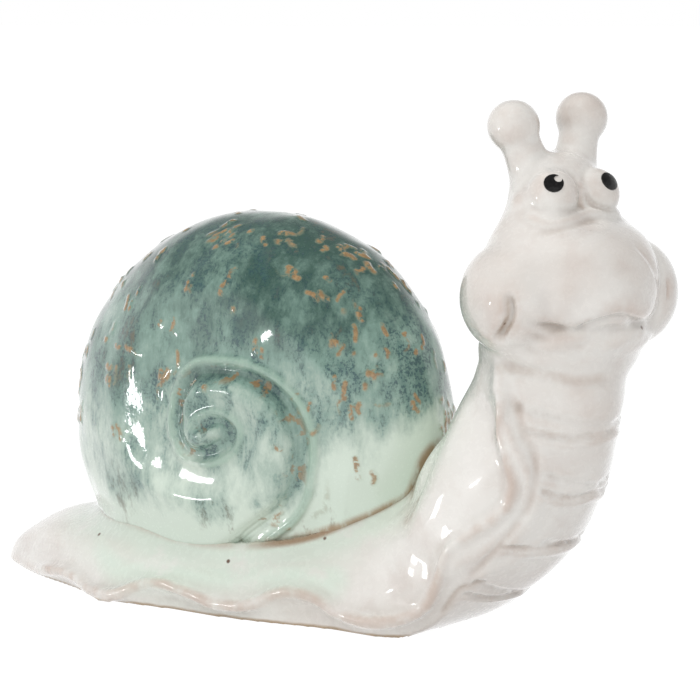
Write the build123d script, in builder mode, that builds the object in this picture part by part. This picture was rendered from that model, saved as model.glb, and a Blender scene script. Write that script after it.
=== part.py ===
"""A glazed stoneware snail: hollow castings that are luted together, and painted pupils.

Millimetres, +Z up, +X towards the snail's chest, +Y towards its left side.
The origin lies on the ground, under the middle of the shell.
"""

import os
from math import cos, radians, sin, sqrt, tan

from build123d import *

# The foot: tail, frilled skirt and sole, up to the upright joint under the chest.
tail_length = 137
chest_joint_x = 85
foot_half_width = 54
foot_height = 34
frill_height = 13.5
wall = 5
pour_hole_radius = 10
pour_hole_x = -45

# The neck bends up about a line across the body, straight above the chest joint.
bend_height = 105.8
neck_half_width = 29
neck_end_angle = 90
rib_count = 4
first_rib_angle = 21.5
rib_depth = 1.5

# The shell: a wide tilted dome with one coiled seam on each flank.
shell_half_length = 88
shell_half_width = 49
shell_half_height = 80
shell_rise = 72
shell_behind = 5
shell_tilt = 15
coil_ahead = 17
seam_reach = 46.5
seam_radius = 5.0
seam_depth = 3.0

# The head, turned towards the snail's right.
head_lead = 5.4
head_turn = 22
head_height = 75
head_half_width = 43
head_half_depth = 27
mouth_rise = 14
muzzle_height = 38
muzzle_half_depth = 31
muzzle_half_width = 29
muzzle_lead = 4
cheek_half_height = 20.5
cheek_half_width = 17.5
lip_half_height = 9

# The eyes and the tentacles.
eye_radius = 9.8
eye_merge = 1.6
bridge_width = 2
gaze_rise = 33
gaze_spread = 22
gaze_turn = 9
pupil_radius = 3.6
pupil_thickness = 0.5
glint_radius = 1.5
knob_radius = 9.7
stalk_radius = 7.4
stalk_length = 24.6
left_stalk_extra = 2.6
stalk_lean = 12.4
stalk_splay = 19

# Cutters reach this far past what they cut.
overrun = 1.0


def mix(first, second, share):
    """The value that lies the given share of the way from first to second."""
    return first + (second - first) * share


def on_ellipse(up, swell):
    """A point of a round slice, as shares across and up from the belly."""
    return swell * sqrt(1 - (1 - 2 * up) ** 2), up


def body_side(depth, half_width, lip, roundness):
    """One side of a slice across the body, with x towards the sole or belly.

    From belly to back it has the recess under the frilled lip, the lip, the flank
    and the shoulder. The first six shares are for the flat foot, the others for
    the round neck.
    """
    low = [(0.94, 0), (0.935, lip / 2), (1, lip), (0.955, lip + 0.13), (0.8, 0.66), (0.45, 0.9)]
    tall = [
        on_ellipse(max(lip - 0.07, 0.03), 0.96),
        on_ellipse(max(lip - 0.03, 0.05), 0.99),
        on_ellipse(lip, 1.07),
        on_ellipse(lip + 0.1, 1.02),
        on_ellipse(0.68, 1),
        on_ellipse(0.9, 1),
    ]
    side = []
    for (low_across, low_up), (tall_across, tall_up) in zip(low, tall):
        across = mix(low_across, tall_across, roundness) * half_width
        up = mix(low_up, tall_up, roundness) * depth
        side.append((depth / 2 - up, across))
    return side


def belly_points(depth, side):
    """The sole or belly of a slice, from the far recess to the near one."""
    corner_x, corner_y = side[0]
    bulge_x = mix(depth / 2, corner_x, 0.35)
    bulge_y = 0.55 * corner_y
    half = [(bulge_x, bulge_y), (corner_x, corner_y)]
    return [(x, -y) for x, y in reversed(half)] + [(depth / 2, 0)] + half


def body_slice(plane, depth, half_width, lip, roundness):
    """One slice across foot or neck."""
    side = body_side(depth, half_width, lip, roundness)
    with BuildSketch(plane) as section:
        with BuildLine():
            Spline(*belly_points(depth, side))
            Spline(*side, (-depth / 2, 0), *[(x, -y) for x, y in reversed(side)])
        make_face()
    return section.sketch


def oval_points(half_x, half_y):
    """Points of an oval that start at the same side, however wide it is."""
    angles = [radians(30 * number) for number in range(12)]
    return [(half_x * cos(angle), half_y * sin(angle)) for angle in angles]


def cavity_slice(plane, depth, half_width):
    """The hollow inside one slice of the body, one wall in from its skin."""
    with BuildSketch(plane) as section:
        with BuildLine():
            Spline(*oval_points(depth / 2 - wall, half_width - wall), periodic=True)
        make_face()
    return section.sketch


# Stations along the foot: place, half width, height of the back and height of the lip,
# as shares of the tail's length or the chest joint, and of the foot's three sizes.
foot_station_shares = [
    (-0.997, 0.055, 0.08, 0.05),
    (-0.98, 0.16, 0.19, 0.06),
    (-0.94, 0.28, 0.34, 0.08),
    (-0.87, 0.4, 0.52, 0.1),
    (-0.763, 0.55, 0.71, 0.1),
    (-0.64, 0.69, 0.82, 0.22),
    (-0.511, 0.81, 0.91, 0.41),
    (-0.396, 0.92, 0.97, 0.16),
    (-0.273, 1.0, 1.0, 0.14),
    (-0.13, 0.97, 1.0, 0.74),
    (0.05, 0.95, 1.0, 0.6),
    (0.31, 0.91, 1.06, 0.48),
    (0.53, 0.83, 1.18, 1.0),
    (0.75, 0.77, 1.33, 0.66),
]
body_slices = []
body_cavities = []
for place, width, top, lip_height in foot_station_shares:
    depth = top * foot_height + overrun
    plane = Plane(
        origin=(place * (tail_length if place < 0 else chest_joint_x), 0, depth / 2 - overrun),
        x_dir=(0, 0, -1),
        z_dir=(1, 0, 0),
    )
    lip = (lip_height * frill_height + overrun) / depth
    body_slices.append(body_slice(plane, depth, width * foot_half_width, lip, 0))
    if top >= 0.7:
        body_cavities.append(cavity_slice(plane, depth - overrun, width * foot_half_width * 0.86))

# The neck's slices stand round the bend line. The shares of the bend height give the
# distances of belly and back from that line. Then come the flare towards the chest's
# width, the place of the lip and the roundness.
neck_station_shares = [
    (1.0, 0.495, 1.0, 0.1, 0),
    (0.985, 0.42, 0.96, 0.13, 0.45),
    (0.95, 0.345, 0.88, 0.22, 0.7),
    (0.915, 0.28, 0.77, 0.24, 0.8),
    (0.88, 0.235, 0.62, 0.18, 0.88),
    (0.84, 0.21, 0.46, 0.12, 0.94),
    (0.804, 0.2, 0.31, 0.13, 1),
    (0.782, 0.195, 0.19, 0.22, 1),
    (0.762, 0.195, 0.1, 0.36, 1),
    (0.753, 0.195, 0.04, 0.42, 1),
    (0.743, 0.198, -0.02, 0.42, 1),
    (0.715, 0.222, -0.26, 0.44, 1),
]
rib_pitch = (neck_end_angle - first_rib_angle) / rib_count
chest_half_width = 0.73 * foot_half_width
rib_grooves = []
for index, (belly_share, back_share, flare, lip, roundness) in enumerate(neck_station_shares):
    if index < 3:
        angle = first_rib_angle * index / 3
    else:
        angle = first_rib_angle + rib_pitch * (index - 3) / 2
    belly = belly_share * bend_height + (overrun if index == 0 else 0)
    back = back_share * bend_height
    outward = Vector(sin(radians(angle)), 0, -cos(radians(angle)))
    turn = radians(head_turn) * max(0, (angle - 45) / (neck_end_angle - 45))
    plane = Plane(
        origin=Vector(chest_joint_x, 0, bend_height) + outward * (belly + back) / 2,
        x_dir=outward * cos(turn) - Vector(0, 1, 0) * sin(turn),
        z_dir=(cos(radians(angle)), 0, sin(radians(angle))),
    )
    half_width = mix(neck_half_width, chest_half_width, flare)
    body_slices.append(body_slice(plane, belly - back, half_width, lip, roundness))
    body_cavities.append(cavity_slice(plane, belly - back, half_width * 0.96))
    if index % 2 and 3 <= index < 3 + 2 * rib_count:
        side = body_side(belly - back, half_width, lip, roundness)
        with BuildPart() as rib_groove:
            with BuildLine(plane) as rib_line:
                Spline(*belly_points(belly - back, side))
            with BuildSketch(Plane(origin=rib_line.line @ 0, z_dir=rib_line.line % 0)):
                Circle(rib_depth)
            sweep()
        rib_grooves.append(rib_groove.part)
body_cavities.append(cavity_slice(plane.offset(overrun), belly - back, half_width * 0.96))
neck_top_x = plane.origin.X

# Foot and neck are one flowing form, parted at the chest joint.
chest_joint = Plane.YZ.offset(chest_joint_x)
with BuildPart() as body_form:
    loft(body_slices)
    split(bisect_by=Plane.XY, keep=Keep.TOP)
with BuildPart() as body_hollow:
    loft(body_cavities)

with BuildPart() as foot:
    add(body_form.part)
    split(bisect_by=chest_joint, keep=Keep.BOTTOM)
    add(body_hollow.part, mode=Mode.SUBTRACT)
    with Locations((pour_hole_x, 0)):
        Cylinder(pour_hole_radius, 4 * wall, mode=Mode.SUBTRACT)
foot.part.label = "foot"

with BuildPart() as neck:
    add(body_form.part)
    split(bisect_by=chest_joint, keep=Keep.TOP)
    add(body_hollow.part, mode=Mode.SUBTRACT)
    for rib_groove in rib_grooves:
        add(rib_groove, mode=Mode.SUBTRACT)
neck.part.label = "neck"

# The head stands on the neck's end, in a frame with x forward and z up.
head_plane = Plane(
    origin=(neck_top_x + head_lead, 0, bend_height),
    x_dir=(cos(radians(head_turn)), -sin(radians(head_turn)), 0),
)


def head_slice(rise, lead, half_depth, half_width):
    """One level slice of the head."""
    with BuildSketch(Plane(head_plane.location * Location((lead, 0, rise)))) as section:
        with BuildLine():
            Spline(*oval_points(half_depth, half_width), periodic=True)
        make_face()
    return section.sketch


def ball(lead, side, rise, half_depth, half_width, half_height):
    """An egg in the head's frame."""
    unit = Sphere(1, mode=Mode.PRIVATE)
    egg = scale(unit, by=(half_depth, half_width, half_height), mode=Mode.PRIVATE)
    return Location(head_plane) * Pos(lead, side, rise) * egg


# Rise, lead, half depth and half width of the skull, as shares of the head's sizes.
skull_shares = [
    (-0.17, -0.24, 0.55, 0.35),
    (-0.11, -0.19, 0.81, 0.51),
    (-0.03, -0.25, 1.03, 0.68),
    (0.08, -0.16, 1.02, 0.74),
    (0.19, -0.06, 1.0, 0.77),
    (0.31, 0, 0.99, 0.8),
    (0.43, -0.04, 0.93, 0.8),
    (0.55, -0.07, 0.82, 0.74),
    (0.67, -0.2, 0.64, 0.56),
    (0.77, -0.29, 0.56, 0.455),
    (0.88, -0.35, 0.5, 0.4),
    (0.95, -0.38, 0.38, 0.31),
    (0.985, -0.4, 0.19, 0.15),
]
# Rise, reach and half width of the muzzle, as shares of its sizes.
muzzle_shares = [
    (0, 0.81, 0.89),
    (0.1, 0.93, 0.97),
    (0.29, 1.0, 1.0),
    (0.5, 0.97, 1.0),
    (0.71, 0.81, 0.94),
    (0.87, 0.52, 0.77),
    (1.0, 0.23, 0.52),
]
eye_rise = 0.78 * head_height
eye_lead = 0.04 * head_half_depth
eye_side = eye_radius - eye_merge / 2
bridge_radius = 0.8 * eye_radius
cheek_side = head_half_width - cheek_half_width
cheek_rise = 0.3 * head_height
cheek_half_depth = 0.8 * head_half_depth
lip_lead = 0.3 * head_half_depth
lip_rise = mouth_rise - 0.7 * lip_half_height
lip_half_depth = 0.62 * muzzle_half_depth
lip_half_width = 0.95 * muzzle_half_width


def skull_slice(rise, lead, depth, width, inset):
    """A level slice of the skull, moved in by the inset."""
    half_depth = depth * head_half_depth - inset
    half_width = width * head_half_width - inset
    return head_slice(rise * head_height, lead * head_half_depth, half_depth, half_width)


def muzzle_slice(rise, reach, width):
    """A level slice of the muzzle, which overhangs the mouth."""
    half_depth = reach * muzzle_half_depth
    half_width = width * muzzle_half_width
    return head_slice(mouth_rise + rise * muzzle_height, muzzle_lead, half_depth, half_width)


with BuildPart() as head_form:
    loft([skull_slice(*shares, inset=0) for shares in skull_shares])
    loft([muzzle_slice(*shares) for shares in muzzle_shares])
    for side in (-1, 1):
        add(ball(0, side * cheek_side, cheek_rise, cheek_half_depth, cheek_half_width, cheek_half_height))
    add(ball(lip_lead, 0, lip_rise, lip_half_depth, lip_half_width, lip_half_height))
    add(ball(eye_lead, 0, eye_rise, bridge_radius, bridge_width / 2, bridge_radius))

with BuildPart() as head:
    add(head_form.part)
    loft([skull_slice(*shares, inset=wall) for shares in skull_shares[2:-2]], mode=Mode.SUBTRACT)
    add(body_form.part, mode=Mode.SUBTRACT)
head.part.label = "head"

# The shell's dome. Its long axis tilts up towards the head.
tilt = radians(shell_tilt)


def dome(inset):
    """The shell's dome, moved in by the inset."""
    halves = (shell_half_length - inset, shell_half_width - inset, shell_half_height - inset)
    egg = scale(Sphere(1, mode=Mode.PRIVATE), by=halves, mode=Mode.PRIVATE)
    return Pos(-shell_behind, 0, shell_rise) * Rot(0, -shell_tilt, 0) * egg


def flank_skin(x, z):
    """Half the dome's width at a point of its flank."""
    along = (x + shell_behind) * cos(tilt) + (z - shell_rise) * sin(tilt)
    above = (z - shell_rise) * cos(tilt) - (x + shell_behind) * sin(tilt)
    return shell_half_width * sqrt(1 - (along / shell_half_length) ** 2 - (above / shell_half_height) ** 2)


# The seam's distance from its pole every 45 degrees, from its start at the foot inwards.
seam_start_angle = -63
seam_step_angle = 45
seam_distance_shares = [1, 0.87, 0.72, 0.58, 0.6, 0.57, 0.52, 0.33, 0.23, 0.19, 0.14, 0.13, 0.12]
seam_points = []
for index, distance in enumerate(seam_distance_shares):
    angle = radians(seam_start_angle + seam_step_angle * index)
    x = coil_ahead - shell_behind + distance * seam_reach * cos(angle)
    z = shell_rise + distance * seam_reach * sin(angle)
    seam_points.append((x, -flank_skin(x, z), z))
seam_slice_count = 2 * len(seam_points) - 1
with BuildPart() as seam:
    with BuildLine() as seam_line:
        Spline(*seam_points)
    seam_slices = []
    for index in range(seam_slice_count):
        share = index / (seam_slice_count - 1)
        size = mix(1, 0.35, share)
        outwards = Vector(0, -1, 0) * (seam_radius - seam_depth) * size
        centre = (seam_line.line @ share) + outwards
        with BuildSketch(Plane(origin=centre, x_dir=(0, -1, 0), z_dir=seam_line.line % share)) as ring:
            Circle(seam_radius * size)
        seam_slices.append(ring.sketch)
    loft(seam_slices)

with BuildPart() as shell:
    add(dome(0))
    add(seam.part, mode=Mode.SUBTRACT)
    add(mirror(seam.part, about=Plane.XZ, mode=Mode.PRIVATE), mode=Mode.SUBTRACT)
    add(dome(wall + seam_depth), mode=Mode.SUBTRACT)
    split(bisect_by=Plane.XY.offset(wall), keep=Keep.TOP)
    add(body_form.part, mode=Mode.SUBTRACT)
shell.part.label = "shell"

# The eyeballs sit in the face, one each side of the bridge of the nose.
head_middle = Plane(origin=head_plane.origin, x_dir=head_plane.x_dir, z_dir=head_plane.y_dir)


def eyeball(side):
    """One pressed ball, cut to the face; side is 1 for the left and -1 for the right."""
    with BuildPart() as piece:
        add(ball(eye_lead, side * eye_side, eye_rise, eye_radius, eye_radius, eye_radius))
        add(head_form.part, mode=Mode.SUBTRACT)
        split(bisect_by=head_middle, keep=Keep.TOP if side > 0 else Keep.BOTTOM)
    return piece.part


def pupil(side, glint):
    """One painted spot on an eyeball, with a round bite for the glint if it has one."""
    heading = radians(side * gaze_spread - gaze_turn)
    level = cos(radians(gaze_rise))
    gaze = Vector(level * cos(heading), level * sin(heading), sin(radians(gaze_rise)))
    centre = head_plane.from_local_coords(Vector(eye_lead, side * eye_side, eye_rise))
    gaze = head_plane.from_local_coords(gaze) - head_plane.origin
    look = Plane(origin=centre, x_dir=(-gaze.Y, gaze.X, 0), z_dir=gaze)
    with BuildPart() as piece:
        with BuildSketch(look):
            Circle(pupil_radius)
            if glint:
                with Locations((1.1 * glint_radius, 1.1 * glint_radius)):
                    Circle(glint_radius, mode=Mode.SUBTRACT)
        extrude(amount=2 * eye_radius)
        with Locations(look):
            Sphere(eye_radius + pupil_thickness, mode=Mode.INTERSECT)
            Sphere(eye_radius, mode=Mode.SUBTRACT)
    return piece.part


def tentacle(side):
    """One stalk with its knob, leaning back and outwards from the crown."""
    root = Vector(-0.37 * head_half_depth, side * 0.165 * head_half_width, 0.805 * head_height)
    lean = Vector(-tan(radians(stalk_lean)), side * tan(radians(stalk_splay)), 1)
    axis_plane = Plane(
        origin=head_plane.from_local_coords(root),
        z_dir=head_plane.from_local_coords(lean) - head_plane.origin,
    )
    profile_plane = Plane(origin=axis_plane.origin, x_dir=axis_plane.x_dir, z_dir=-axis_plane.y_dir)
    waist = sqrt(knob_radius**2 - stalk_radius**2)
    length = stalk_length + (left_stalk_extra if side > 0 else 0)
    with BuildPart() as piece:
        with BuildSketch(profile_plane):
            with BuildLine():
                Polyline((0, length + knob_radius), (0, 0), (1.5 * stalk_radius, 0))
                Spline(
                    (1.5 * stalk_radius, 0),
                    (1.17 * stalk_radius, 0.3 * length),
                    (stalk_radius, length - waist),
                )
                ThreePointArc(
                    (stalk_radius, length - waist),
                    (knob_radius, length),
                    (0, length + knob_radius),
                )
            make_face()
        revolve(axis=Axis(axis_plane.origin, axis_plane.z_dir))
        add(head_form.part, mode=Mode.SUBTRACT)
        add(ball(eye_lead, side * eye_side, eye_rise, eye_radius, eye_radius, eye_radius), mode=Mode.SUBTRACT)
        split(bisect_by=head_middle, keep=Keep.TOP if side > 0 else Keep.BOTTOM)
    return piece.part


os.makedirs("parts", exist_ok=True)
export_step(foot.part, "parts/foot.step")
export_step(neck.part, "parts/neck.step")
export_step(shell.part, "parts/shell.step")
export_step(head.part, "parts/head.step")
for side_name, side in (("right", -1), ("left", 1)):
    for name, piece in (
        ("eyeball", eyeball(side)),
        ("pupil", pupil(side, glint=side < 0)),
        ("tentacle", tentacle(side)),
    ):
        piece.label = f"{name}_{side_name}"
        export_step(piece, f"parts/{name}_{side_name}.step")
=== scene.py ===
import math

import bpy
import numpy as np
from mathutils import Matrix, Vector
from mathutils.bvhtree import BVHTree


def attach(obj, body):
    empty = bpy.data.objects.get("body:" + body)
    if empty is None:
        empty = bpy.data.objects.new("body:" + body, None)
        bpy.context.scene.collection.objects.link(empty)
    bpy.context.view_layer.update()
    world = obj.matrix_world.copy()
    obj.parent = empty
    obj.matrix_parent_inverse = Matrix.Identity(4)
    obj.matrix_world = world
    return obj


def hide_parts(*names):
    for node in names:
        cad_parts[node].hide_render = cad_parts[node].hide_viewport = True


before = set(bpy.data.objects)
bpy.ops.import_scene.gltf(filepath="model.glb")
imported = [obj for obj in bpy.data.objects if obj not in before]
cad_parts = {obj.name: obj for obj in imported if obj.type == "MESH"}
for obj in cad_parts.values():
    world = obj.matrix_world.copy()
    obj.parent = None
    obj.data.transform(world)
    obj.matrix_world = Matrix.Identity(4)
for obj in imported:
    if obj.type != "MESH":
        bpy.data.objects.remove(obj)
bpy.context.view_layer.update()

# The camera stands to the figurine's right, towards its head, and looks a little down on it.
# Its lens is long, so that the near flank and the face are drawn at almost one size.
camera_place = (0.66357, -0.82742, 0.22770)
camera_turn = math.radians(37)
camera_dip = math.radians(7)
bpy.ops.object.camera_add(
    location=camera_place, rotation=(math.radians(90) - camera_dip, 0, camera_turn)
)
camera = bpy.context.object
camera.data.lens = 138.86
camera.data.sensor_width = 36
bpy.context.scene.camera = camera
bpy.context.scene.view_settings.view_transform = "Standard"

# The table is plain white paper that runs on far behind the figurine. It keeps the shadow
# at the rim of the foot and shows as white to the camera and in the glaze.
paper_size = 120
paper_drop = 0.0003
paper_glow = 0.8
bpy.ops.mesh.primitive_plane_add(size=paper_size, location=(0, 0, -paper_drop))
table_top = bpy.context.object
table_top.name = "table_top"


def node_tree(material):
    """Clears a material's or a world's nodes and returns its tree."""
    material.use_nodes = True
    material.node_tree.nodes.clear()
    return material.node_tree


def add_node(tree, kind, inputs=None, **settings):
    """Adds one node, sets it up and links or fills its inputs."""
    node = tree.nodes.new("ShaderNode" + kind)
    for name, value in settings.items():
        setattr(node, name, value)
    for socket, value in (inputs or {}).items():
        if isinstance(value, bpy.types.NodeSocket):
            tree.links.new(value, node.inputs[socket])
        else:
            node.inputs[socket].default_value = value
    return node


def math_node(tree, operation, first, second=0.0, third=0.0, clamp=False):
    """One sum in a node tree."""
    inputs = {0: first, 1: second, 2: third}
    return add_node(tree, "Math", inputs, operation=operation, use_clamp=clamp).outputs[0]


def seen_directly(tree):
    """One for rays that come from the camera, a mirror-like glaze or glass."""
    path = add_node(tree, "LightPath").outputs
    total = math_node(tree, "ADD", path["Is Camera Ray"], path["Is Glossy Ray"])
    return math_node(tree, "ADD", total, path["Is Transmission Ray"], clamp=True)


paper = bpy.data.materials.new("white_paper")
tree = node_tree(paper)
matt = add_node(tree, "BsdfDiffuse", {"Color": (0.9, 0.9, 0.9, 1)})
white = add_node(tree, "Emission", {"Color": (1, 1, 1, 1), "Strength": 1 / paper_glow})
share = math_node(tree, "MULTIPLY", seen_directly(tree), paper_glow)
mixed = add_node(tree, "MixShader", {0: share, 1: matt.outputs[0], 2: white.outputs[0]})
add_node(tree, "OutputMaterial", {"Surface": mixed.outputs[0]})
table_top.data.materials.append(paper)

# The studio is a white tent, which is the world, and four softboxes. Only the small low one
# beside the figurine shows in the glaze. The others give light alone: from the same side,
# from before the face, and from overhead.
tent_light = 0.34
tent = bpy.data.worlds.new("tent")
bpy.context.scene.world = tent
tree = node_tree(tent)
glow = add_node(tree, "Background", {"Color": (1, 1, 1, 1), "Strength": tent_light})
# The roof of the tent is out of the lamps' light, so the glaze mirrors it darker.
skyward = add_node(tree, "TexCoord").outputs["Generated"]
rise = add_node(tree, "SeparateXYZ", {"Vector": skyward}).outputs["Z"]
roof = {"Value": rise, "From Min": 0.15, "From Max": 0.75, "To Min": 1.0, "To Max": 0.25}
shade = add_node(tree, "MapRange", roof, interpolation_type="SMOOTHSTEP").outputs[0]
straight = add_node(tree, "LightPath").outputs["Is Camera Ray"]
seen_light = math_node(tree, "MAXIMUM", shade, straight)
sky = add_node(tree, "Background", {"Color": (1, 1, 1, 1), "Strength": seen_light})
seen = seen_directly(tree)
mixed = add_node(tree, "MixShader", {0: seen, 1: glow.outputs[0], 2: sky.outputs[0]})
add_node(tree, "OutputWorld", {"Surface": mixed.outputs[0]})


def softbox(name, place, size, power, mirrored=False):
    """A rectangular lamp that faces the middle of the figurine.

    Either the glaze mirrors it or it gives light, and never both.
    """
    aim = Vector((0.03, 0, 0.09))
    bpy.ops.object.light_add(type="AREA", location=place)
    lamp = bpy.context.object
    lamp.name = name
    lamp.rotation_euler = (aim - lamp.location).to_track_quat("-Z", "Y").to_euler()
    lamp.data.shape = "RECTANGLE"
    lamp.data.size, lamp.data.size_y = size
    lamp.data.energy = power
    lamp.visible_glossy = mirrored
    lamp.visible_diffuse = not mirrored


softbox("side_mirrored", (-0.47, -0.84, 0.068), (0.11, 0.10), 0.68, mirrored=True)
softbox("side_softbox", (-0.46, -0.86, 0.2), (0.25, 0.3), 1.7)
softbox("face_softbox", (0.9, -0.9, 0.9), (0.6, 0.6), 7.2)
softbox("top_softbox", (-0.2, -0.2, 1.3), (0.9, 0.7), 6.6)

# The white body: foot, neck, head, tentacles and eyeballs, cast and pressed in stoneware,
# luted together and smoothed with a sponge, so that no joint shows under the glaze.
bpy.ops.object.select_all(action="DESELECT")
body_nodes = [
    "foot",
    "neck",
    "head",
    "tentacle_right",
    "tentacle_left",
    "eyeball_right",
    "eyeball_left",
]
for name in body_nodes:
    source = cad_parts[name]
    casting = bpy.data.objects.new(name + "_casting", source.data.copy())
    bpy.context.collection.objects.link(casting)
    casting.select_set(True)
    bpy.context.view_layer.objects.active = casting
bpy.ops.object.join()
body = bpy.context.object
body.name = "glazed_body"
body.data.materials.clear()
bpy.ops.object.mode_set(mode="EDIT")
bpy.ops.mesh.select_all(action="SELECT")
bpy.ops.mesh.remove_doubles(threshold=0.00001)
bpy.ops.object.mode_set(mode="OBJECT")

# A bung, a little wider than the pour hole, closes it while the clay is worked.
pour_hole = (-0.045, 0)
pour_hole_radius = 0.0105
bung_radius = 0.0115
bung_height = 0.005
bpy.ops.mesh.primitive_cylinder_add(
    radius=bung_radius, depth=bung_height, location=(*pour_hole, bung_height / 2)
)
pats = [bpy.context.object]

# The head's own frame: forwards, to the figurine's left, and up, in millimetres.
mm = 0.001
head_turn = math.radians(22)
head_base = np.array((139.97, 0, 0))
head_axes = np.array(
    (
        (math.cos(head_turn), -math.sin(head_turn), 0),
        (math.sin(head_turn), math.cos(head_turn), 0),
        (0, 0, 1),
    )
)


def on_head(corners):
    """Millimetres in the head's frame, as millimetres in the figurine's."""
    return head_base + np.array(corners, float) @ head_axes


def press_pat(middle, turn, halves):
    """Adds a pat of clay, an egg with these half lengths."""
    bpy.ops.mesh.primitive_uv_sphere_add(
        segments=32, ring_count=16, radius=1, location=middle, rotation=turn, scale=halves
    )
    pats.append(bpy.context.object)


# Pats of clay fill out the muzzle, the lip, the chin, the lids and the brow. Each has its
# middle and its half lengths in the head's frame.
for middle, halves in [
    ((11, -11, 132), (20, 17, 17)),
    ((3, -18, 131.5), (22, 15.5, 16)),
    ((12, 0, 116), (13, 19, 9)),
    ((4, -24, 116), (11, 10, 10)),
    ((3, -9, 156.5), (9.5, 10.5, 4.5)),
    ((3, 9, 157), (8, 10, 4)),
    ((-5, -10, 160), (9, 12, 9)),
    ((-5, 10, 160), (9, 12, 9)),
]:
    press_pat(on_head(middle) * mm, (0, 0, -head_turn), np.array(halves) * mm)
# One more pat closes the nape, where the neck leans away from the shell.
press_pat((0.093, 0, 0.061), (0, -math.radians(56), 0), (0.027, 0.023, 0.0095))
for pat in pats:
    pat.select_set(True)
body.select_set(True)
bpy.context.view_layer.objects.active = body
bpy.ops.object.join()


def finish_with(piece, kind, **settings):
    """Adds one modifier and applies it."""
    bpy.ops.object.select_all(action="DESELECT")
    piece.select_set(True)
    bpy.context.view_layer.objects.active = piece
    modifier = piece.modifiers.new(kind.lower(), kind)
    for name, value in settings.items():
        setattr(modifier, name, value)
    bpy.ops.object.modifier_apply(modifier=modifier.name)


clay_grain = 0.00115
finish_with(body, "REMESH", mode="VOXEL", voxel_size=clay_grain, use_smooth_shade=True)
finish_with(body, "SMOOTH", factor=0.5, iterations=6)


def vertex_values(piece, layer="vertices", key="co"):
    """The places or normals of a piece's vertices."""
    values = np.empty(len(piece.data.vertices) * 3)
    getattr(piece.data, layer).foreach_get(key, values)
    return values.reshape(-1, 3)


def normals_of(piece):
    """The piece's vertex normals."""
    return vertex_values(piece, "vertex_normals", "vector")


def place_vertices(piece, points):
    """Moves the piece's vertices to new places."""
    piece.data.vertices.foreach_set("co", points.ravel())
    piece.data.update()


def smooth_step(value):
    """Eases a share between nought and one."""
    value = np.clip(value, 0, 1)
    return value * value * (3 - 2 * value)


def smooth_line(corners, step=mm):
    """Points about a step apart on a smooth line through the corners."""
    corners = np.array(corners, float)
    ends = np.vstack([2 * corners[0] - corners[1], corners, 2 * corners[-1] - corners[-2]])
    line = []
    for before, start, end, after in zip(ends[:-3], ends[1:-2], ends[2:-1], ends[3:]):
        count = max(2, int(np.linalg.norm(end - start) / step))
        for t in np.arange(count) / count:
            line.append(
                0.5
                * (
                    2 * start
                    + (end - before) * t
                    + (2 * before - 5 * start + 4 * end - after) * t**2
                    + (3 * start - before - 3 * end + after) * t**3
                )
            )
    line.append(corners[-1])
    return np.array(line)


def near_line(points, line, reach):
    """The vertices within reach of a line, how near they are and how far along it."""
    low, high = line.min(0) - reach, line.max(0) + reach
    index = np.nonzero(np.all((points > low) & (points < high), axis=1))[0]
    gap = np.full(len(index), np.inf)
    along = np.zeros(len(index))
    for number, sample in enumerate(line):
        distance = np.linalg.norm(points[index] - sample, axis=1)
        closer = distance < gap
        gap[closer] = distance[closer]
        along[closer] = number / (len(line) - 1)
    inside = gap < reach
    return index[inside], gap[inside] / reach, along[inside]


def stroke(piece, corners, reach, height, marks=None, mark=0.0, ends=0.12, both_sides=True):
    """Draws a sculpting tool along a line on the skin, in millimetres.

    It raises or presses the skin, and paints a mark as it goes.
    """
    points = vertex_values(piece)
    normals = normals_of(piece)
    for side in (1, -1) if both_sides else (1,):
        line = smooth_line(np.array(corners) * mm) * (1, side, 1)
        index, gap, along = near_line(points, line, reach * mm)
        fall = (1 - gap**2) ** 2 * smooth_step(np.minimum(along, 1 - along) / ends)
        points[index] += normals[index] * (fall * height * mm)[:, None]
        if marks is not None:
            marks[index] = np.maximum(marks[index], fall * mark)
    place_vertices(piece, points)


def edge_ends(piece):
    """The two vertices of each of a piece's edges."""
    ends = np.empty(len(piece.data.edges) * 2, int)
    piece.data.edges.foreach_get("vertices", ends)
    return ends.reshape(-1, 2)


def mean_of_neighbours(values, ends):
    """Each vertex's mean over the vertices that it shares an edge with."""
    number = len(values)
    touching = np.maximum(np.bincount(ends.ravel(), minlength=number), 1)
    total = np.empty_like(values)
    for axis in range(values.shape[1]):
        column = values[:, axis]
        total[:, axis] = np.bincount(ends[:, 0], column[ends[:, 1]], number)
        total[:, axis] += np.bincount(ends[:, 1], column[ends[:, 0]], number)
    return total / touching[:, None]


def soften(piece, share, rounds, rub=0.6):
    """Wipes a damp sponge over the skin, as hard as each vertex's share says."""
    points = vertex_values(piece)
    ends = edge_ends(piece)
    for _ in range(rounds):
        points += rub * share[:, None] * (mean_of_neighbours(points, ends) - points)
    place_vertices(piece, points)


def near_spot(points, spot, inner, outer):
    """One within the inner radius of a spot, and nought beyond the outer one."""
    distance = np.linalg.norm(points - np.array(spot), axis=1)
    return 1 - smooth_step((distance - inner) / (outer - inner))


# The pats are sponged over until they flow into the face. Each spot has its middle, its
# inner and its outer radius, and the rounds of the sponge.
skin = vertex_values(body)
for middle, inner, outer, rounds in [
    ((10, -24, 146), 12, 22, 40),
    ((10, -12, 138), 12, 24, 30),
    ((8, 0, 112), 18, 28, 40),
    ((0, 0, 152), 6, 16, 25),
]:
    soften(body, near_spot(skin, on_head(middle) * mm, inner * mm, outer * mm), rounds)
# The pat on the nape is sponged as well.
soften(body, near_spot(skin, (0.092, 0, 0.062), 0.026, 0.040), 60)

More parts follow.
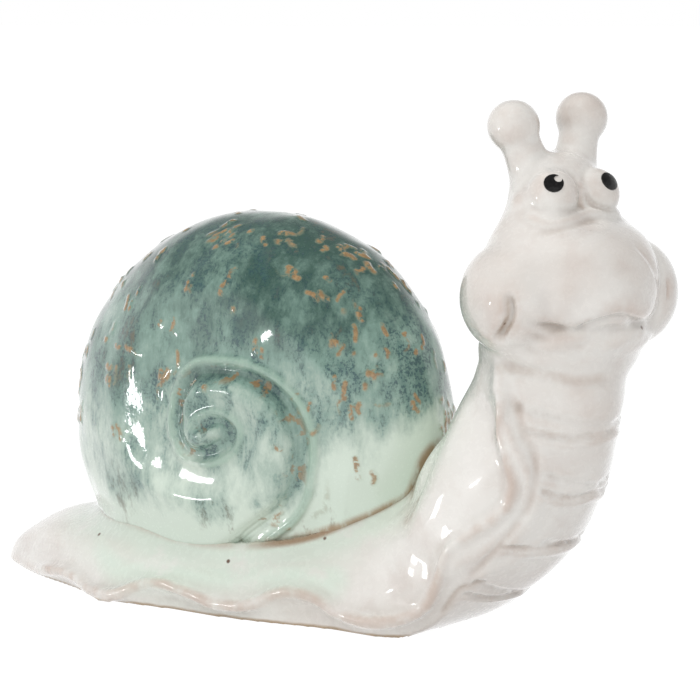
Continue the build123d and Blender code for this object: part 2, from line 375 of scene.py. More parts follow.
# The eyeballs keep their round form in front. Their middles are in the head's frame, the
# right one first.
eye_middles = [(1.08, side * 9.0, 164.3) for side in (-1, 1)]
eye_radius = 0.0098
hold_reach = 0.0016
hold_fade = 0.0012
front_fade = 0.003
skin = vertex_values(body)
for eye_middle in eye_middles:
    offset = skin - on_head(eye_middle) * mm
    distance = np.linalg.norm(offset, axis=1)
    on_ball = smooth_step((hold_reach - np.abs(distance - eye_radius)) / hold_fade)
    hold = on_ball * smooth_step(offset @ head_axes[0] / front_fade)
    skin += (hold * (eye_radius / distance - 1))[:, None] * offset
place_vertices(body, skin)

# The face is drawn with a loop tool and a finger, along these lines in the head's frame.
mouth = [
    (17.0, -35.0, 124.5),
    (18.2, -33.5, 122.6),
    (19.6, -25.0, 119.8),
    (20.4, -18.7, 119.3),
    (22.7, -13.4, 119.3),
    (28.3, -10.5, 121.1),
    (31.5, -5.0, 122.9),
    (32.4, -1.3, 123.1),
    (30.4, 5.5, 121.4),
    (20.2, 18.5, 118.8),
]
cheek_crease = [
    (14.9, -37.7, 133.0),
    (15.5, -36.8, 129.2),
    (16.0, -36.7, 125.7),
    (14.6, -36.5, 122.0),
    (10.4, -36.6, 117.3),
    (6.6, -35.8, 113.3),
]
lid_roll = [
    (-1.5, -19.3, 160.0),
    (4.4, -19.1, 156.4),
    (10.5, -15.5, 154.6),
    (12.6, -9.2, 155.4),
    (10.1, -1.3, 157.6),
    (9.6, 4.4, 158.0),
    (7.5, 13.1, 157.2),
]
left_lid = [
    (7.3, -0.3, 168.4),
    (7.3, 1.5, 164),
    (8.8, 4.1, 161.1),
    (9.6, 8.8, 159.3),
    (6.4, 14, 158.6),
]
nose_slit = [(6.9, -0.2, 170), (6.4, -0.5, 167.5), (7.9, -1.4, 162), (9.4, -1.2, 158.6)]
lip_fold = [(17, -31.8, 117.6), (17.8, -23.7, 115.3), (21.7, -16.1, 113.9), (25.8, -8.6, 110.8)]
lip_roll = [(25.8, -7, 111), (26.9, 0.3, 112.3), (26, 9, 115.5), (19.3, 21.1, 117)]
chin_fold = [
    (-4.4, -30, 105.7),
    (2.4, -27.7, 104.1),
    (10.9, -20.5, 102),
    (20.2, -9.6, 99.2),
    (22, 8, 101),
]
chin_roll = [(2.4, -28.7, 110.1), (12.9, -22.5, 107), (20.2, -12.6, 106.2), (24, 4, 107)]
left_cheek_fold = [
    (24.9, 7.3, 149.1),
    (27.9, 12.2, 144.1),
    (28.3, 17.8, 136.9),
    (21.5, 25.6, 127.9),
]
left_cheek_crease = [(19.5, 29.2, 134.7), (21, 29, 130.5), (21, 28.6, 126.1)]
muzzle_fold = [
    (9.1, -22.3, 151.2),
    (13, -17.3, 152.4),
    (13.5, -9.8, 154),
    (12.7, -3.2, 155),
    (12.4, 5.9, 155),
]
# Each line has the tool's reach, its height, and the mark it paints: the brown of thin glaze
# on a raised line, and painted shade in a pressed crease.
thin_glaze_and_shade = np.zeros(len(body.data.vertices))
slip_and_shade = np.zeros(len(body.data.vertices))
for corners, reach, height, mark in [
    (mouth, 3.4, -1.9, 0.3),
    ([(f + 1.5, l, z + 4.5) for f, l, z in mouth[1:]], 6.5, 1.1, 0.1),
    ([(f + 1, l, z - 4.2) for f, l, z in mouth[1:]], 4.0, 0.9, 0.25),
    (cheek_crease, 2.6, -3.3, 0.0),
    ([(f - 6, l - 3, z) for f, l, z in cheek_crease], 7.0, 0.6, 0.1),
    (lid_roll, 3.4, 1.3, 0.0),
    (left_lid, 1.9, -0.9, 0.4),
    (nose_slit, 1.8, -0.9, 1.0),
    (lip_fold, 3.6, -0.9, 0.35),
    (lip_roll, 4.0, 0.8, 0.3),
    (chin_fold, 3.4, -0.8, 0.45),
    (chin_roll, 4.5, 0.8, 0.1),
    (left_cheek_fold, 3.2, -0.7, 0.4),
    (left_cheek_crease, 2.0, -0.8, 1.0),
    (muzzle_fold, 3.4, -0.8, 0.3),
]:
    stroke(body, on_head(corners), reach, height, thin_glaze_and_shade, mark, ends=0.2, both_sides=False)
# The cheek crease is painted dark brown too, as painted shade in the slit.
stroke(body, on_head(cheek_crease), 2.5, -0.3, slip_and_shade, 1.5, ends=0.3, both_sides=False)

# A needle is run round each eyeball, where it meets the lids.
rim_radius = 9.6
rim_behind = 2.4
rim_turn = np.linspace(-0.4, 2 * math.pi - 0.9, 15)[:, None]
for eye_middle, side in zip(eye_middles, (-1, 1)):
    gaze = np.array((0.9, side * 0.42, 0.12))
    across = np.cross((0, 0, 1), gaze)
    above = np.cross(gaze, across)
    rim = np.array(eye_middle) - rim_behind * gaze
    rim = rim + rim_radius * (np.cos(rim_turn) * across + np.sin(rim_turn) * above)
    # The groove round each eyeball is painted toasted brown, as painted shade.
    stroke(body, on_head(rim), 1.9, -0.9, thin_glaze_and_shade, 0.3, ends=0.1, both_sides=False)

# The skirt's frill runs on up the neck as the edge of the cape. It is a rolled crest with a
# hollow behind it. The points are the right side's, in millimetres.
frill = [
    (-104, -30, 2.2),
    (-76, -41.2, 6.5),
    (-63.6, -45.4, 6),
    (-50, -50, 3.4),
    (-38, -53, 3.2),
    (-25.7, -52.1, 7.9),
    (-17.7, -52.4, 10.5),
    (-10.2, -52.1, 10.9),
    (-2.9, -51.7, 9.3),
    (5.3, -51.1, 7.3),
    (13, -49.8, 5.2),
    (22.6, -49.5, 5.6),
    (31, -47.7, 8.1),
    (37.8, -45.6, 11.6),
    (44.4, -44.8, 13.5),
    (50.6, -43.6, 13.3),
    (56.9, -42.5, 11.6),
    (64, -41.1, 7.5),
    (73.4, -41.2, 6),
    (86.3, -39.2, 6.6),
    (93.1, -36.1, 8.5),
    (98.7, -33.9, 11.8),
    (102.4, -34, 16.1),
    (106.2, -35.6, 22.8),
    (108.2, -35.9, 29),
    (110.3, -35.9, 34.5),
    (113.8, -35.2, 38.5),
    (119.5, -33.3, 42.5),
    (126.2, -30.4, 47.3),
    (131.4, -29, 52),
    (133.6, -28.6, 55.9),
    (135.1, -28.9, 61.9),
    (133.9, -29.2, 66.9),
    (132.9, -30.2, 72),
    (129.6, -30.6, 79),
    (129.6, -31.3, 84.2),
    (130.8, -30.6, 90.7),
    (131.6, -28.1, 98.5),
]
skirt_points = 24
stroke(body, frill, 3.6, 1.9, thin_glaze_and_shade, 0.95, ends=0.05)
stroke(body, [(x - 3, y + 2, z + 5) for x, y, z in frill[:skirt_points]], 6, -0.9, ends=0.1)
# The belly's plates are parted by ribs, each a groove with a fold below it.
ribs = [
    [
        (137.8, -27.5, 81.9),
        (143, -23.6, 80.3),
        (151.5, -17, 78.6),
        (156.6, -11.7, 79.2),
        (160, 0, 80.5),
    ],
    [(142, -23, 59.3), (148.1, -11.2, 55.7), (152, 0, 56.8)],
    [(128.3, -28.1, 37.6), (133.6, -20.4, 36.8), (138.8, 0, 36)],
    [(112.2, -27.6, 18.5), (115.4, -14, 14.9), (118.8, 0, 15.4)],
]
plate_side = [
    (131, -28.4, 97),
    (136, -27.6, 90),
    (138.4, -27.1, 81.6),
    (141.3, -25.4, 74.4),
    (142.1, -24.6, 67.1),
    (140.9, -24.6, 58.3),
    (138.9, -24.8, 52.2),
    (132.5, -26.7, 43),
    (128.3, -28.1, 37.6),
    (116, -30, 22),
    (108.2, -29, 10),
]
# Each rib's groove and the plate side are painted toasted brown, as painted shade; each fold gets a
# little brown of thin glaze.
for rib in ribs:
    rib = rib + [(x, -y, z) for x, y, z in rib[-2::-1]]
    fold = [(x - 0.4, y, z - 2.3) for x, y, z in rib]
    stroke(body, rib, 2.2, -1.1, thin_glaze_and_shade, 0.8, ends=0.05, both_sides=False)
    stroke(body, fold, 2.6, 0.7, thin_glaze_and_shade, 0.1, ends=0.05, both_sides=False)
stroke(body, plate_side, 3.0, -0.9, thin_glaze_and_shade, 0.6, ends=0.1)
# The neck's flank is pressed hollow behind the cape. The chest and the tail are creased, and
# both creases are painted darker, as painted shade.
flank_line = [(94, -33, 22), (103, -31, 40), (113, -29.5, 60), (120, -28.5, 78), (123, -27, 96)]
chest_crease = [(103.2, -28, 9.5), (111.7, -29.5, 19.5), (116, -25.3, 22.7), (120.7, -21.8, 23.4)]
tail_crease = [(-102.2, -31, 2.4), (-75.7, -41.2, 6.9), (-55.1, -48.8, 4.6), (-44.2, -53.5, 2.8)]
stroke(body, flank_line, 16, -2.4, ends=0.15)
stroke(body, chest_crease, 2, -0.8, slip_and_shade, 0.5)
stroke(body, tail_crease, 2.2, -0.9, thin_glaze_and_shade, 0.8)

# Clay is smeared up against the shell all round its seat. The dome's own form, a tilted egg,
# says how near each place is to it.
dome_halves = np.array((0.088, 0.049, 0.080))
dome_centre = np.array((-0.005, 0, 0.072))
dome_tilt = math.radians(15)
tilt_axes = np.array(
    (
        (math.cos(dome_tilt), 0, math.sin(dome_tilt)),
        (0, 1, 0),
        (-math.sin(dome_tilt), 0, math.cos(dome_tilt)),
    )
)
skin = vertex_values(body)
local = (skin - dome_centre) @ tilt_axes.T
dome_share = np.linalg.norm(local / dome_halves, axis=1)
to_dome = np.linalg.norm(local, axis=1) * (1 - 1 / dome_share)
smear_reach = 0.009
smear_depth = 0.002
smear_height = 0.0026
smear = np.clip(1 - to_dome / smear_reach, 0, 1) ** 2 * (to_dome > -smear_depth)
skin += normals_of(body) * (smear_height * smear)[:, None]
# The rim of the foot is ground flat on a wheel.
ground_off = 0.0004
skin[:, 2] = np.where(skin[:, 2] < ground_off, 0, skin[:, 2])
place_vertices(body, skin)

# Where the glaze pools, it is green, and where it runs thin on an edge, the clay shows. Each
# crease is darkened grey, as painted shade. An edge or a crease is where the skin stands off
# from the mean of its neighbours.
full_bend = 0.0004
skin = vertex_values(body)
ends = edge_ends(body)
spread = mean_of_neighbours(skin, ends)
for _ in range(3):
    spread = mean_of_neighbours(spread, ends)
bend = ((skin - spread) * normals_of(body)).sum(axis=1) / full_bend
for _ in range(2):
    bend = mean_of_neighbours(bend[:, None], ends)[:, 0]
# A pool lies round the seat, fainter towards the neck, and in the hollow along the skirt.
seat_pool_reach = 0.030
pool = 0.95 * (1 - smooth_step(to_dome / seat_pool_reach))
pool *= 1 - 0.5 * smooth_step((skin[:, 0] - 0.07) / 0.03)
skirt_hollow = [
    (-62.9, -29.5, 24.5),
    (-37.1, -48, 12.3),
    (3.4, -47.2, 15.2),
    (46.9, -41.9, 19.8),
    (60.2, -39.2, 19.1),
]
skirt_pool_reach = 0.012
hollow_line = smooth_line(np.array(skirt_hollow) * mm)
for side in (1, -1):
    index, gap, _ = near_line(skin, hollow_line * (1, side, 1), skirt_pool_reach)
    pool[index] = np.maximum(pool[index], (1 - gap**2) ** 2)
nape = near_spot(skin, (0.100, 0, 0.090), 0.02, 0.055) * smooth_step((0.122 - skin[:, 0]) / 0.03)
jowl = near_spot(skin, on_head((-12, -38, 122)) * mm, 0.004, 0.022)
pool = np.maximum(pool, np.maximum(0.65 * nape, 0.3 * jowl))


def seat_slip(gap, points, narrow, widening):
    """Brown slip that is wiped along the front of the seat, and is wider higher up."""
    reach = narrow + widening * smooth_step((points[:, 2] - 0.045) / 0.03)
    on_front = smooth_step((points[:, 0] - 0.015) / 0.02)
    return (1 - smooth_step((gap - reach) / 0.0022)) * on_front


def paint(piece, name, values):
    """Keeps one value for each vertex as an attribute that the glaze reads."""
    layer = piece.data.attributes.new(name, "FLOAT", "POINT")
    layer.data.foreach_set("value", np.clip(values, 0, 1).astype(np.float32))


# Painted on the body: thin glaze on edges and painted shade along the pressed creases; grey painted
# shade in the hollows; and the brown slip at the seat, with painted shade in the cheek and chest
# creases.
paint(body, "thin_glaze_and_shade", np.maximum(thin_glaze_and_shade, 0.8 * np.clip(bend, 0, 1)))
paint(body, "crease_shade", np.clip(-bend, 0, 1))
paint(body, "slip_and_shade", np.maximum(slip_and_shade, seat_slip(to_dome, skin, 0.0006, 0.0022)))
paint(body, "pool", pool)

# The pour hole is cut again with a tube cutter, after the skin is done.
cutter_length = 0.03
bpy.ops.object.select_all(action="DESELECT")
bpy.ops.mesh.primitive_cylinder_add(
    vertices=64, radius=pour_hole_radius, depth=cutter_length, location=(*pour_hole, 0)
)
cutter = bpy.context.object
finish_with(body, "BOOLEAN", object=cutter, operation="DIFFERENCE", solver="FAST")
bpy.data.objects.remove(cutter)


def attribute(tree, name):
    """One painted value."""
    return add_node(tree, "Attribute", attribute_name=name).outputs["Fac"]


def share_of(tree, value, low, high, top=1.0):
    """How far a value has gone from low to high, up to the top."""
    inputs = {"Value": value, "From Min": low, "From Max": high, "To Max": top}
    return add_node(tree, "MapRange", inputs, interpolation_type="SMOOTHSTEP").outputs[0]


def times(tree, first, second):
    """The product of two values."""
    return math_node(tree, "MULTIPLY", first, second)


def mottle(tree, place, scale, detail=3.0, roughness=0.55):
    """Cloudy noise of one scale."""
    inputs = {"Vector": place, "Scale": scale, "Detail": detail, "Roughness": roughness}
    return add_node(tree, "TexNoise", inputs).outputs[0]


def tint(tree, share, under, over):
    """Lays one colour over another."""
    node = add_node(tree, "Mix", data_type="RGBA")
    tree.links.new(share, node.inputs[0])
    for socket, colour in ((6, under), (7, over)):
        if isinstance(colour, bpy.types.NodeSocket):
            tree.links.new(colour, node.inputs[socket])
        else:
            node.inputs[socket].default_value = (*colour, 1)
    return node.outputs[2]


def finish_glaze(tree, colour, height, roughness, under_gloss=0.3):
    """The glaze's own gloss: a clear coat over a softer, slightly uneven ground."""
    bump = add_node(tree, "Bump", {"Height": height, "Strength": 0.35, "Distance": 0.0006})
    shader = add_node(
        tree,
        "BsdfPrincipled",
        {
            "Base Color": colour,
            "Roughness": roughness,
            "Normal": bump.outputs[0],
            "Coat Weight": 1.0,
            "Coat Roughness": 0.035,
            "Coat IOR": 1.5,
            "Specular IOR Level": under_gloss,
        },
    )
    tree.links.new(bump.outputs[0], shader.inputs["Coat Normal"])
    add_node(tree, "OutputMaterial", {"Surface": shader.outputs[0]})


white_glaze = bpy.data.materials.new("white_glaze")
tree = node_tree(white_glaze)
place = add_node(tree, "TexCoord").outputs["Object"]
clouds = mottle(tree, place, 26)
patches = mottle(tree, place, 75, 4.0)
grit = mottle(tree, place, 420, 2.0)
# A cream ground that clouds over with oatmeal and buff.
cream = (0.83, 0.805, 0.765)
oatmeal = (0.70, 0.645, 0.60)
buff = (0.66, 0.58, 0.535)
colour = tint(tree, share_of(tree, clouds, 0.42, 0.7, 0.6), cream, oatmeal)
colour = tint(tree, share_of(tree, patches, 0.5, 0.72, 0.35), colour, buff)
# The painted places: pools, thin edges and dark slip, each broken up by patches, with painted
# shade in the creases.
celadon = (0.70, 0.785, 0.69)
toasted_clay_and_shade = (0.56, 0.43, 0.355)
crease_shade_grey = (0.45, 0.38, 0.32)
brown_slip_and_shade = (0.33, 0.20, 0.11)
green_share = times(tree, attribute(tree, "pool"), share_of(tree, patches, 0.15, 0.5))
colour = tint(tree, green_share, colour, celadon)
# Toasted clay shows where the glaze runs thin on edges and crests, and is painted shade along the
# pressed creases.
thin_glaze_and_shade_share = times(tree, attribute(tree, "thin_glaze_and_shade"), share_of(tree, patches, 0.3, 0.6, 0.75))
colour = tint(tree, thin_glaze_and_shade_share, colour, toasted_clay_and_shade)
# Grey painted shade in every hollow crease of the skin.
crease_shade_share = times(tree, attribute(tree, "crease_shade"), share_of(tree, patches, 0.25, 0.65, 0.6))
colour = tint(tree, crease_shade_share, colour, crease_shade_grey)
# Brown slip along the seat, and the same brown as painted shade in the cheek and chest creases.
slip_and_shade_share = times(tree, attribute(tree, "slip_and_shade"), share_of(tree, patches, 0.05, 0.4, 0.85))
colour = tint(tree, slip_and_shade_share, colour, brown_slip_and_shade)
# Iron spots come through here and there.
iron_spot = (0.14, 0.08, 0.05)
spots = add_node(tree, "TexVoronoi", {"Vector": place, "Scale": 62.0}).outputs["Distance"]
spot_share = times(tree, share_of(tree, spots, 0.07, 0.03), share_of(tree, clouds, 0.5, 0.55))
colour = tint(tree, spot_share, colour, iron_spot)
# The glaze is wiped off along a ragged line just above the sole, so the clay is bare there.
bare_clay = (0.46, 0.34, 0.22)
height_up = add_node(tree, "SeparateXYZ", {"Vector": place}).outputs["Z"]
ragged_height = math_node(tree, "ADD", height_up, times(tree, patches, 0.0022))
bare = share_of(tree, ragged_height, 0.0026, 0.0014)
colour = tint(tree, bare, colour, bare_clay)
rough = share_of(tree, bare, 0.0, 1.0)
rough = math_node(tree, "MULTIPLY_ADD", rough, 0.45, times(tree, grit, 0.5))
finish_glaze(tree, colour, clouds, rough)
body.data.materials.append(white_glaze)
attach(body, "root")
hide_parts(*body_nodes)

# The shell: a wide hollow dome, cast in stoneware like the body and luted into its seat on
# the foot. The coil is carved in each flank while the clay is damp, and a green glaze that
# breaks over the edges covers it.
bpy.ops.mesh.primitive_cube_add(size=2)
shell = bpy.context.object
shell.name = "glazed_shell"
bpy.ops.object.mode_set(mode="EDIT")
bpy.ops.mesh.select_all(action="SELECT")
bpy.ops.mesh.subdivide(number_cuts=65)
bpy.ops.mesh.subdivide(number_cuts=1)
bpy.ops.object.mode_set(mode="OBJECT")
# The cube is blown up to a ball with squares of even size, and the ball stretched to the dome.
ball = np.tan(vertex_values(shell) * math.pi / 4)
ball /= np.linalg.norm(ball, axis=1)[:, None]
dome = ball * dome_halves @ tilt_axes + dome_centre
outward = ball / dome_halves @ tilt_axes
outward /= np.linalg.norm(outward, axis=1)[:, None]

# Where the coil runs on the flank, as X and Z in millimetres, from the foot inwards. Then
# come the width and the depth of the slope that leads down to it from outside.
coil = [
    (-4, 14, 12, 0),
    (14, 20.5, 12, 2.5),
    (22.7, 26.1, 12, 3),
    (31.8, 32.0, 12, 3.5),
    (39.9, 38.2, 12, 3.5),
    (46.2, 47.5, 12, 3.5),
    (49.2, 57.5, 12, 3.7),
    (50.2, 65.3, 13, 4),
    (50, 72.9, 13, 4),
    (47.3, 80.3, 14, 4),
    (42.3, 87.6, 14, 4),
    (34.1, 93.8, 15, 4),
    (23.5, 97.9, 17, 4),
    (12.4, 99.1, 24, 4.2),
    (-0.4, 98.2, 27, 4.8),
    (-7.3, 93.9, 29, 5.2),
    (-12.2, 85.8, 30, 5.4),
    (-13.7, 77, 30, 5.4),
    (-13.1, 68.3, 27, 5.2),
    (-9, 60.9, 21, 4.8),
    (-1.7, 57.7, 16, 4.4),
    (6.7, 58, 14, 4.2),
    (13.8, 61, 13, 4.2),
    (19.6, 66.3, 11, 3.8),
    (20.9, 73.2, 11, 3.6),
    (16.5, 77.6, 10, 3.2),
    (9.7, 79, 9, 2.8),
    (2.7, 76.6, 8, 2.4),
    (-0.5, 72.5, 6, 1.8),
    (2.5, 69.5, 5, 0),
]
coil_step = 0.0003
coil_line = smooth_line(np.array(coil) * mm, coil_step)
coil_middle = np.array((0.007, 0.071))
coil_arms = coil_line[:, :2] - coil_middle
coil_turn = np.unwrap(np.arctan2(coil_arms[:, 1], coil_arms[:, 0]))
coil_reach = np.linalg.norm(coil_arms, axis=1)
# How far each place on the flank lies inside one lap of the coil and outside the next one,
# and at which turns of the coil that is.
flank = dome[:, [0, 2]] - coil_middle
reach = np.linalg.norm(flank, axis=1)
turn = np.arctan2(flank[:, 1], flank[:, 0])
far_off = 1.0
gap_inside = np.full(len(dome), far_off)
gap_outside = np.full(len(dome), far_off)
turn_inside = np.zeros(len(dome))
turn_outside = np.zeros(len(dome))
for lap in range(-2, 3):
    lapped = turn + lap * 2 * math.pi
    there = np.interp(lapped, coil_turn, coil_reach, left=np.nan, right=np.nan)
    gap = there - reach
    closer = (gap >= 0) & (gap < gap_inside)
    gap_inside[closer] = gap[closer]
    turn_inside[closer] = lapped[closer]
    closer = (gap < 0) & (-gap < gap_outside)
    gap_outside[closer] = -gap[closer]
    turn_outside[closer] = lapped[closer]
width_outside = np.interp(turn_outside, coil_turn, coil_line[:, 2])
depth_outside = np.interp(turn_outside, coil_turn, coil_line[:, 3])
depth_inside = np.interp(turn_inside, coil_turn, coil_line[:, 3])
# The carving fades out where the dome turns over towards its ridge.
flank_from = 0.35
flank_fade = 0.3
on_flank = smooth_step((np.abs(outward[:, 1]) - flank_from) / flank_fade)
# Outside the coil a slope rises to a crest, which a finger has rounded a little. Inside it
# a shorter slope rises over a hollow, whose deepest place counts as one. The rope of clay
# lies on the coil itself.
crest_round = 0.06
slope_power = 1.7
inner_slope_width = 0.014
hollow_width = 0.011
hollow_depth = 0.0020
rope_half = 0.0006
rope_fade = 0.0020
rope_height = 0.0014
ring_width = 0.26
ring_height = 0.0005
ring_full_depth = 0.0038
full_depth = 0.004
out_share = gap_outside / width_outside
up_slope = np.exp(-np.minimum(out_share, 9) / crest_round) + math.exp(-1 / crest_round)
up_slope = -crest_round * np.log(up_slope)
slope_out = depth_outside * (1 - np.clip(up_slope, 0, 1) ** slope_power)
slope_in = depth_inside * (1 - smooth_step(gap_inside / inner_slope_width))
nearest = np.minimum(gap_inside, gap_outside)
depth_nearest = np.where(gap_inside < gap_outside, depth_inside, depth_outside) / full_depth
hollow_share = np.clip(gap_inside / hollow_width, 0, 1)
hollow = 16 * hollow_share**2 * (1 - hollow_share) ** 2 * np.minimum(depth_inside / full_depth, 1)
rope = (1 - smooth_step((nearest - rope_half) / rope_fade)) * np.clip(depth_nearest, 0, 1)
ring = np.exp(-(((out_share - 1) / ring_width) ** 2))
ring *= np.clip(depth_outside / ring_full_depth, 0, 1) ** 2
relief = ring_height * ring - slope_out - slope_in - hollow_depth * hollow + rope_height * rope

# The whorls are lumpy from the fingers that pressed them, each lump a slow wave.
luck = np.random.default_rng(11)
lumps = np.zeros(len(dome))
for wave_length, height in [(0.034, 0.00011), (0.021, 0.00005), (0.0115, 0.00002)]:
    for _ in range(9):
        heading = luck.normal(size=3)
        heading /= np.linalg.norm(heading)
        phase = luck.uniform(0, 2 * math.pi)
        lumps += height * np.sin(dome @ heading * 2 * math.pi / wave_length + phase)
dome = dome + outward * (relief * on_flank + lumps)[:, None]

# A long line of slip is trailed down the front of each flank.
dash = np.zeros(len(dome))
front_line = [
    (54.6, -35.5, 69.6),
    (54.4, -34.7, 59.6),
    (52, -32.2, 44.9),
    (48, -32.5, 41),
    (43.6, -31.8, 38.5),
]
line_reach = 0.0032
line_height = 0.0009
for side in (1, -1):
    trail = smooth_line(np.array(front_line) * mm * (1, side, 1), 0.0006)
    index, gap, along = near_line(dome, trail, line_reach)
    fall = (1 - gap**2) ** 2 * smooth_step(np.minimum(along, 1 - along) / 0.15)
    dome[index] += outward[index] * (line_height * fall)[:, None]
    dash[index] = np.maximum(dash[index], 0.7 * fall)

# Short dashes of slip are trailed on the upper whorls and in the coil's hollow, in loose
# groups of one to three.
dash_groups = 165
dash_height = 0.0005
lowest_dash = 0.035
groups = 0
while groups < dash_groups:
    first = luck.integers(len(dome))
    spot = dome[first]
    liking = smooth_step((spot[2] - 0.045) / 0.07) * 0.85
    liking = max(liking, 0.9 * hollow[first] * on_flank[first])
    if luck.uniform() > liking or spot[2] < lowest_dash:
        continue
    groups += 1
    normal = outward[first]
    upright = np.cross(normal, np.cross((0, 0, 1), normal) + luck.normal(size=3) * 0.5)
    upright /= np.linalg.norm(upright)
    across = np.cross(normal, upright)
    for _ in range(luck.integers(1, 4)):
        middle = spot + across * luck.uniform(-0.006, 0.006) + upright * luck.uniform(-0.004, 0.004)
        half = luck.uniform(0.0004, 0.0030)
        bow = across * luck.uniform(-0.001, 0.001)
        trail = np.array([middle - upright * half, middle + bow, middle + upright * half])
        reach_here = luck.uniform(0.0012, 0.0020)
        index, gap, _ = near_line(dome, smooth_line(trail, 0.0005), reach_here)
        fall = (1 - gap**2) ** 2
        dome[index] += outward[index] * (dash_height * fall)[:, None]
        dash[index] = np.maximum(dash[index], fall * luck.uniform(0.35, 1.0))

# Near its seat the dome swells a little to meet the clay that is smeared against it.
seat_search = 0.02
seat_bottom = 0.012
seat_top = 0.11
swell_reach = 0.006
swell_height = 0.0009
body_points = BVHTree.FromPolygons(
    vertex_values(body).tolist(), [tuple(polygon.vertices) for polygon in body.data.polygons]
)
seat_gap = np.full(len(dome), far_off)
low = np.nonzero((dome[:, 2] < seat_top) & (dome[:, 2] > seat_bottom))[0]
for number in low:
    found = body_points.find_nearest(dome[number], seat_search)
    if found[3] is not None:
        seat_gap[number] = found[3]
swell = np.clip(1 - seat_gap / swell_reach, 0, 1) ** 2
dome += outward * (swell_height * swell)[:, None]
place_vertices(shell, dome)
bpy.ops.object.shade_smooth()
inward_reach = 0.02
paint(shell, "hollow", on_flank * hollow)
paint(shell, "rope", on_flank * rope)
paint(shell, "dash", dash)
paint(shell, "seat", seat_slip(seat_gap, dome, 0.0004, 0.0025))
paint(shell, "pale", 1 - smooth_step(seat_gap / seat_search))
paint(shell, "inward", np.clip(gap_inside / inward_reach, 0, 1))
paint(shell, "flank", on_flank * (1 - smooth_step((gap_inside - 0.007) / 0.003)))

# The dome ends below in a flat face, where it stands in its seat on the foot.
seat_level = 0.018
bpy.ops.object.mode_set(mode="EDIT")
bpy.ops.mesh.select_all(action="SELECT")
bpy.ops.mesh.bisect(
    plane_co=(0, 0, seat_level), plane_no=(0, 0, 1), use_fill=True, clear_inner=True
)
bpy.ops.object.mode_set(mode="OBJECT")

green_glaze = bpy.data.materials.new("green_glaze")
tree = node_tree(green_glaze)
place = add_node(tree, "TexCoord").outputs["Object"]
drift = mottle(tree, place, 19, 2.0)
clouds = mottle(tree, place, 42, 5.0, 0.62)
runs = add_node(tree, "Mapping", {"Vector": place, "Scale": (1, 1, 0.45)}).outputs[0]
streaks = mottle(tree, runs, 110, 5.0, 0.7)
grains = mottle(tree, place, 820, 2.0, 0.6)
parts = add_node(tree, "SeparateXYZ", {"Vector": place}).outputs
hollow_share = attribute(tree, "hollow")
# Depth of green: more at the top, in the hollows and where the clouds gather, and less near
# the seat and low on the breast.
deep = math_node(tree, "ADD", share_of(tree, parts["Z"], 0.0, 0.15, 0.75), 0.1)
deep = math_node(tree, "MULTIPLY_ADD", hollow_share, 0.3, deep)
deep = math_node(tree, "ADD", deep, math_node(tree, "MULTIPLY_ADD", clouds, 0.8, -0.4))
deep = math_node(tree, "ADD", deep, math_node(tree, "MULTIPLY_ADD", drift, 0.6, -0.3))
deep = math_node(tree, "ADD", deep, math_node(tree, "MULTIPLY_ADD", streaks, 0.9, -0.45))
deep = math_node(tree, "ADD", deep, times(tree, attribute(tree, "pale"), -0.35))
forward = share_of(tree, parts["X"], 0.02, 0.07)
breast = times(tree, forward, share_of(tree, parts["Z"], 0.095, 0.03, 0.36))
deep = math_node(tree, "SUBTRACT", deep, breast)
pale_green = (0.66, 0.755, 0.655)
sage = (0.22, 0.345, 0.29)
bottle_green = (0.045, 0.10, 0.08)
colour = tint(tree, share_of(tree, deep, 0.0, 0.62), pale_green, sage)
colour = tint(tree, share_of(tree, deep, 0.5, 0.98), colour, bottle_green)
# Blue-black grains and a thin blue haze show where the glaze is deep, and rust in places.
blue_black = (0.014, 0.045, 0.056)
blue_haze = (0.07, 0.16, 0.16)
olive_rust = (0.17, 0.125, 0.065)
blue = times(tree, share_of(tree, grains, 0.47, 0.60), share_of(tree, streaks, 0.44, 0.62))
blue = times(tree, blue, share_of(tree, deep, 0.2, 0.7, 0.9))
colour = tint(tree, blue, colour, blue_black)
haze = times(tree, share_of(tree, streaks, 0.48, 0.66), share_of(tree, deep, 0.15, 0.6, 0.4))
colour = tint(tree, haze, colour, blue_haze)
rust = times(tree, share_of(tree, streaks, 0.54, 0.68), share_of(tree, drift, 0.46, 0.58, 0.6))
colour = tint(tree, rust, colour, olive_rust)
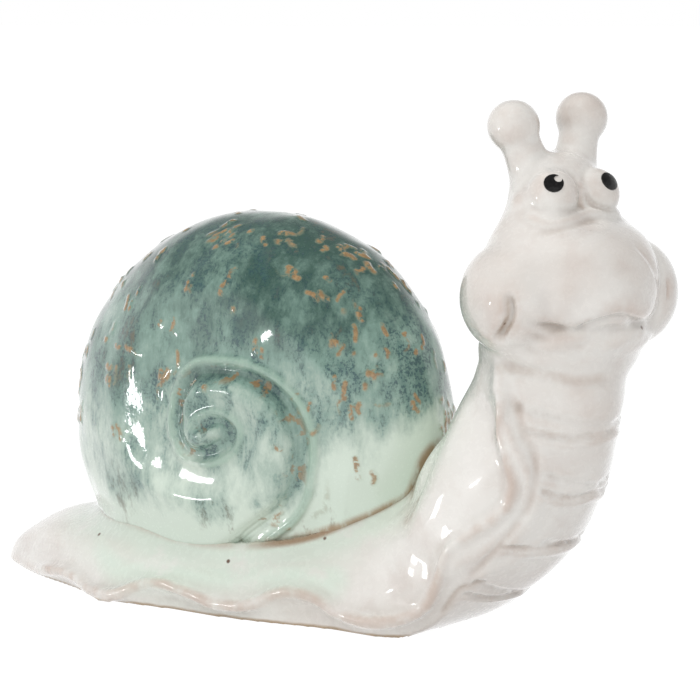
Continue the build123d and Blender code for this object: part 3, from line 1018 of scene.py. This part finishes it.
# The rope is paler, where the glaze runs off it, and brown flecks gather in the hollow.
pale_jade = (0.37, 0.52, 0.42)
fleck_brown = (0.30, 0.17, 0.06)
rope_share = times(tree, attribute(tree, "rope"), share_of(tree, clouds, 0.3, 0.5, 0.85))
colour = tint(tree, rope_share, colour, pale_jade)
fleck_noise = mottle(tree, place, 150, 3.0)
flecks = times(tree, hollow_share, share_of(tree, fleck_noise, 0.56, 0.63, 0.8))
colour = tint(tree, flecks, colour, fleck_brown)
# The slip's dashes have ragged edges and an olive halo, where the glaze has taken them up.
olive_halo = (0.30, 0.33, 0.22)
light_slip = (0.42, 0.265, 0.125)
dark_slip = (0.29, 0.175, 0.08)
dash_noise = mottle(tree, place, 420, 3.0)
dashes = times(tree, attribute(tree, "dash"), share_of(tree, dash_noise, 0.3, 0.56))
halo = times(tree, share_of(tree, dashes, 0.02, 0.2), share_of(tree, clouds, 0.3, 0.6, 0.4))
colour = tint(tree, halo, colour, olive_halo)
slip = tint(tree, share_of(tree, grains, 0.35, 0.65), light_slip, dark_slip)
colour = tint(tree, share_of(tree, dashes, 0.12, 0.55, 0.9), colour, slip)
seat_brown = (0.33, 0.20, 0.09)
seat_share = times(tree, attribute(tree, "seat"), share_of(tree, streaks, 0.25, 0.55, 0.85))
colour = tint(tree, seat_share, colour, seat_brown)
# Fine lines from the carving tool run along the coil, inside it.
tool_pitch = 0.0019
line_turns = 2 * math.pi * inward_reach / tool_pitch
lines = math_node(tree, "SINE", times(tree, attribute(tree, "inward"), line_turns))
height = math_node(tree, "MULTIPLY_ADD", times(tree, lines, attribute(tree, "flank")), 0.25, clouds)
finish_glaze(tree, colour, height, share_of(tree, grains, 0.3, 0.9, 0.5))
shell.data.materials.append(green_glaze)
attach(shell, "root")
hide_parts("shell")

# The pupils are spots of black overglaze enamel, brushed on the eyeballs. The right one
# has a round bite that is left white, as a glint.
black_enamel = bpy.data.materials.new("black_enamel")
tree = node_tree(black_enamel)
place = add_node(tree, "TexCoord").outputs["Object"]
brushing = mottle(tree, place, 900, 3.0)
black = (0.004, 0.004, 0.004)
brushed_black = (0.012, 0.011, 0.011)
colour = tint(tree, share_of(tree, brushing, 0.4, 0.7), black, brushed_black)
finish_glaze(tree, colour, brushing, share_of(tree, brushing, 0.0, 1.0, 0.4), under_gloss=0)
for name in ("pupil_right", "pupil_left"):
    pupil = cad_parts[name]
    pupil.data.materials.clear()
    pupil.data.materials.append(black_enamel)
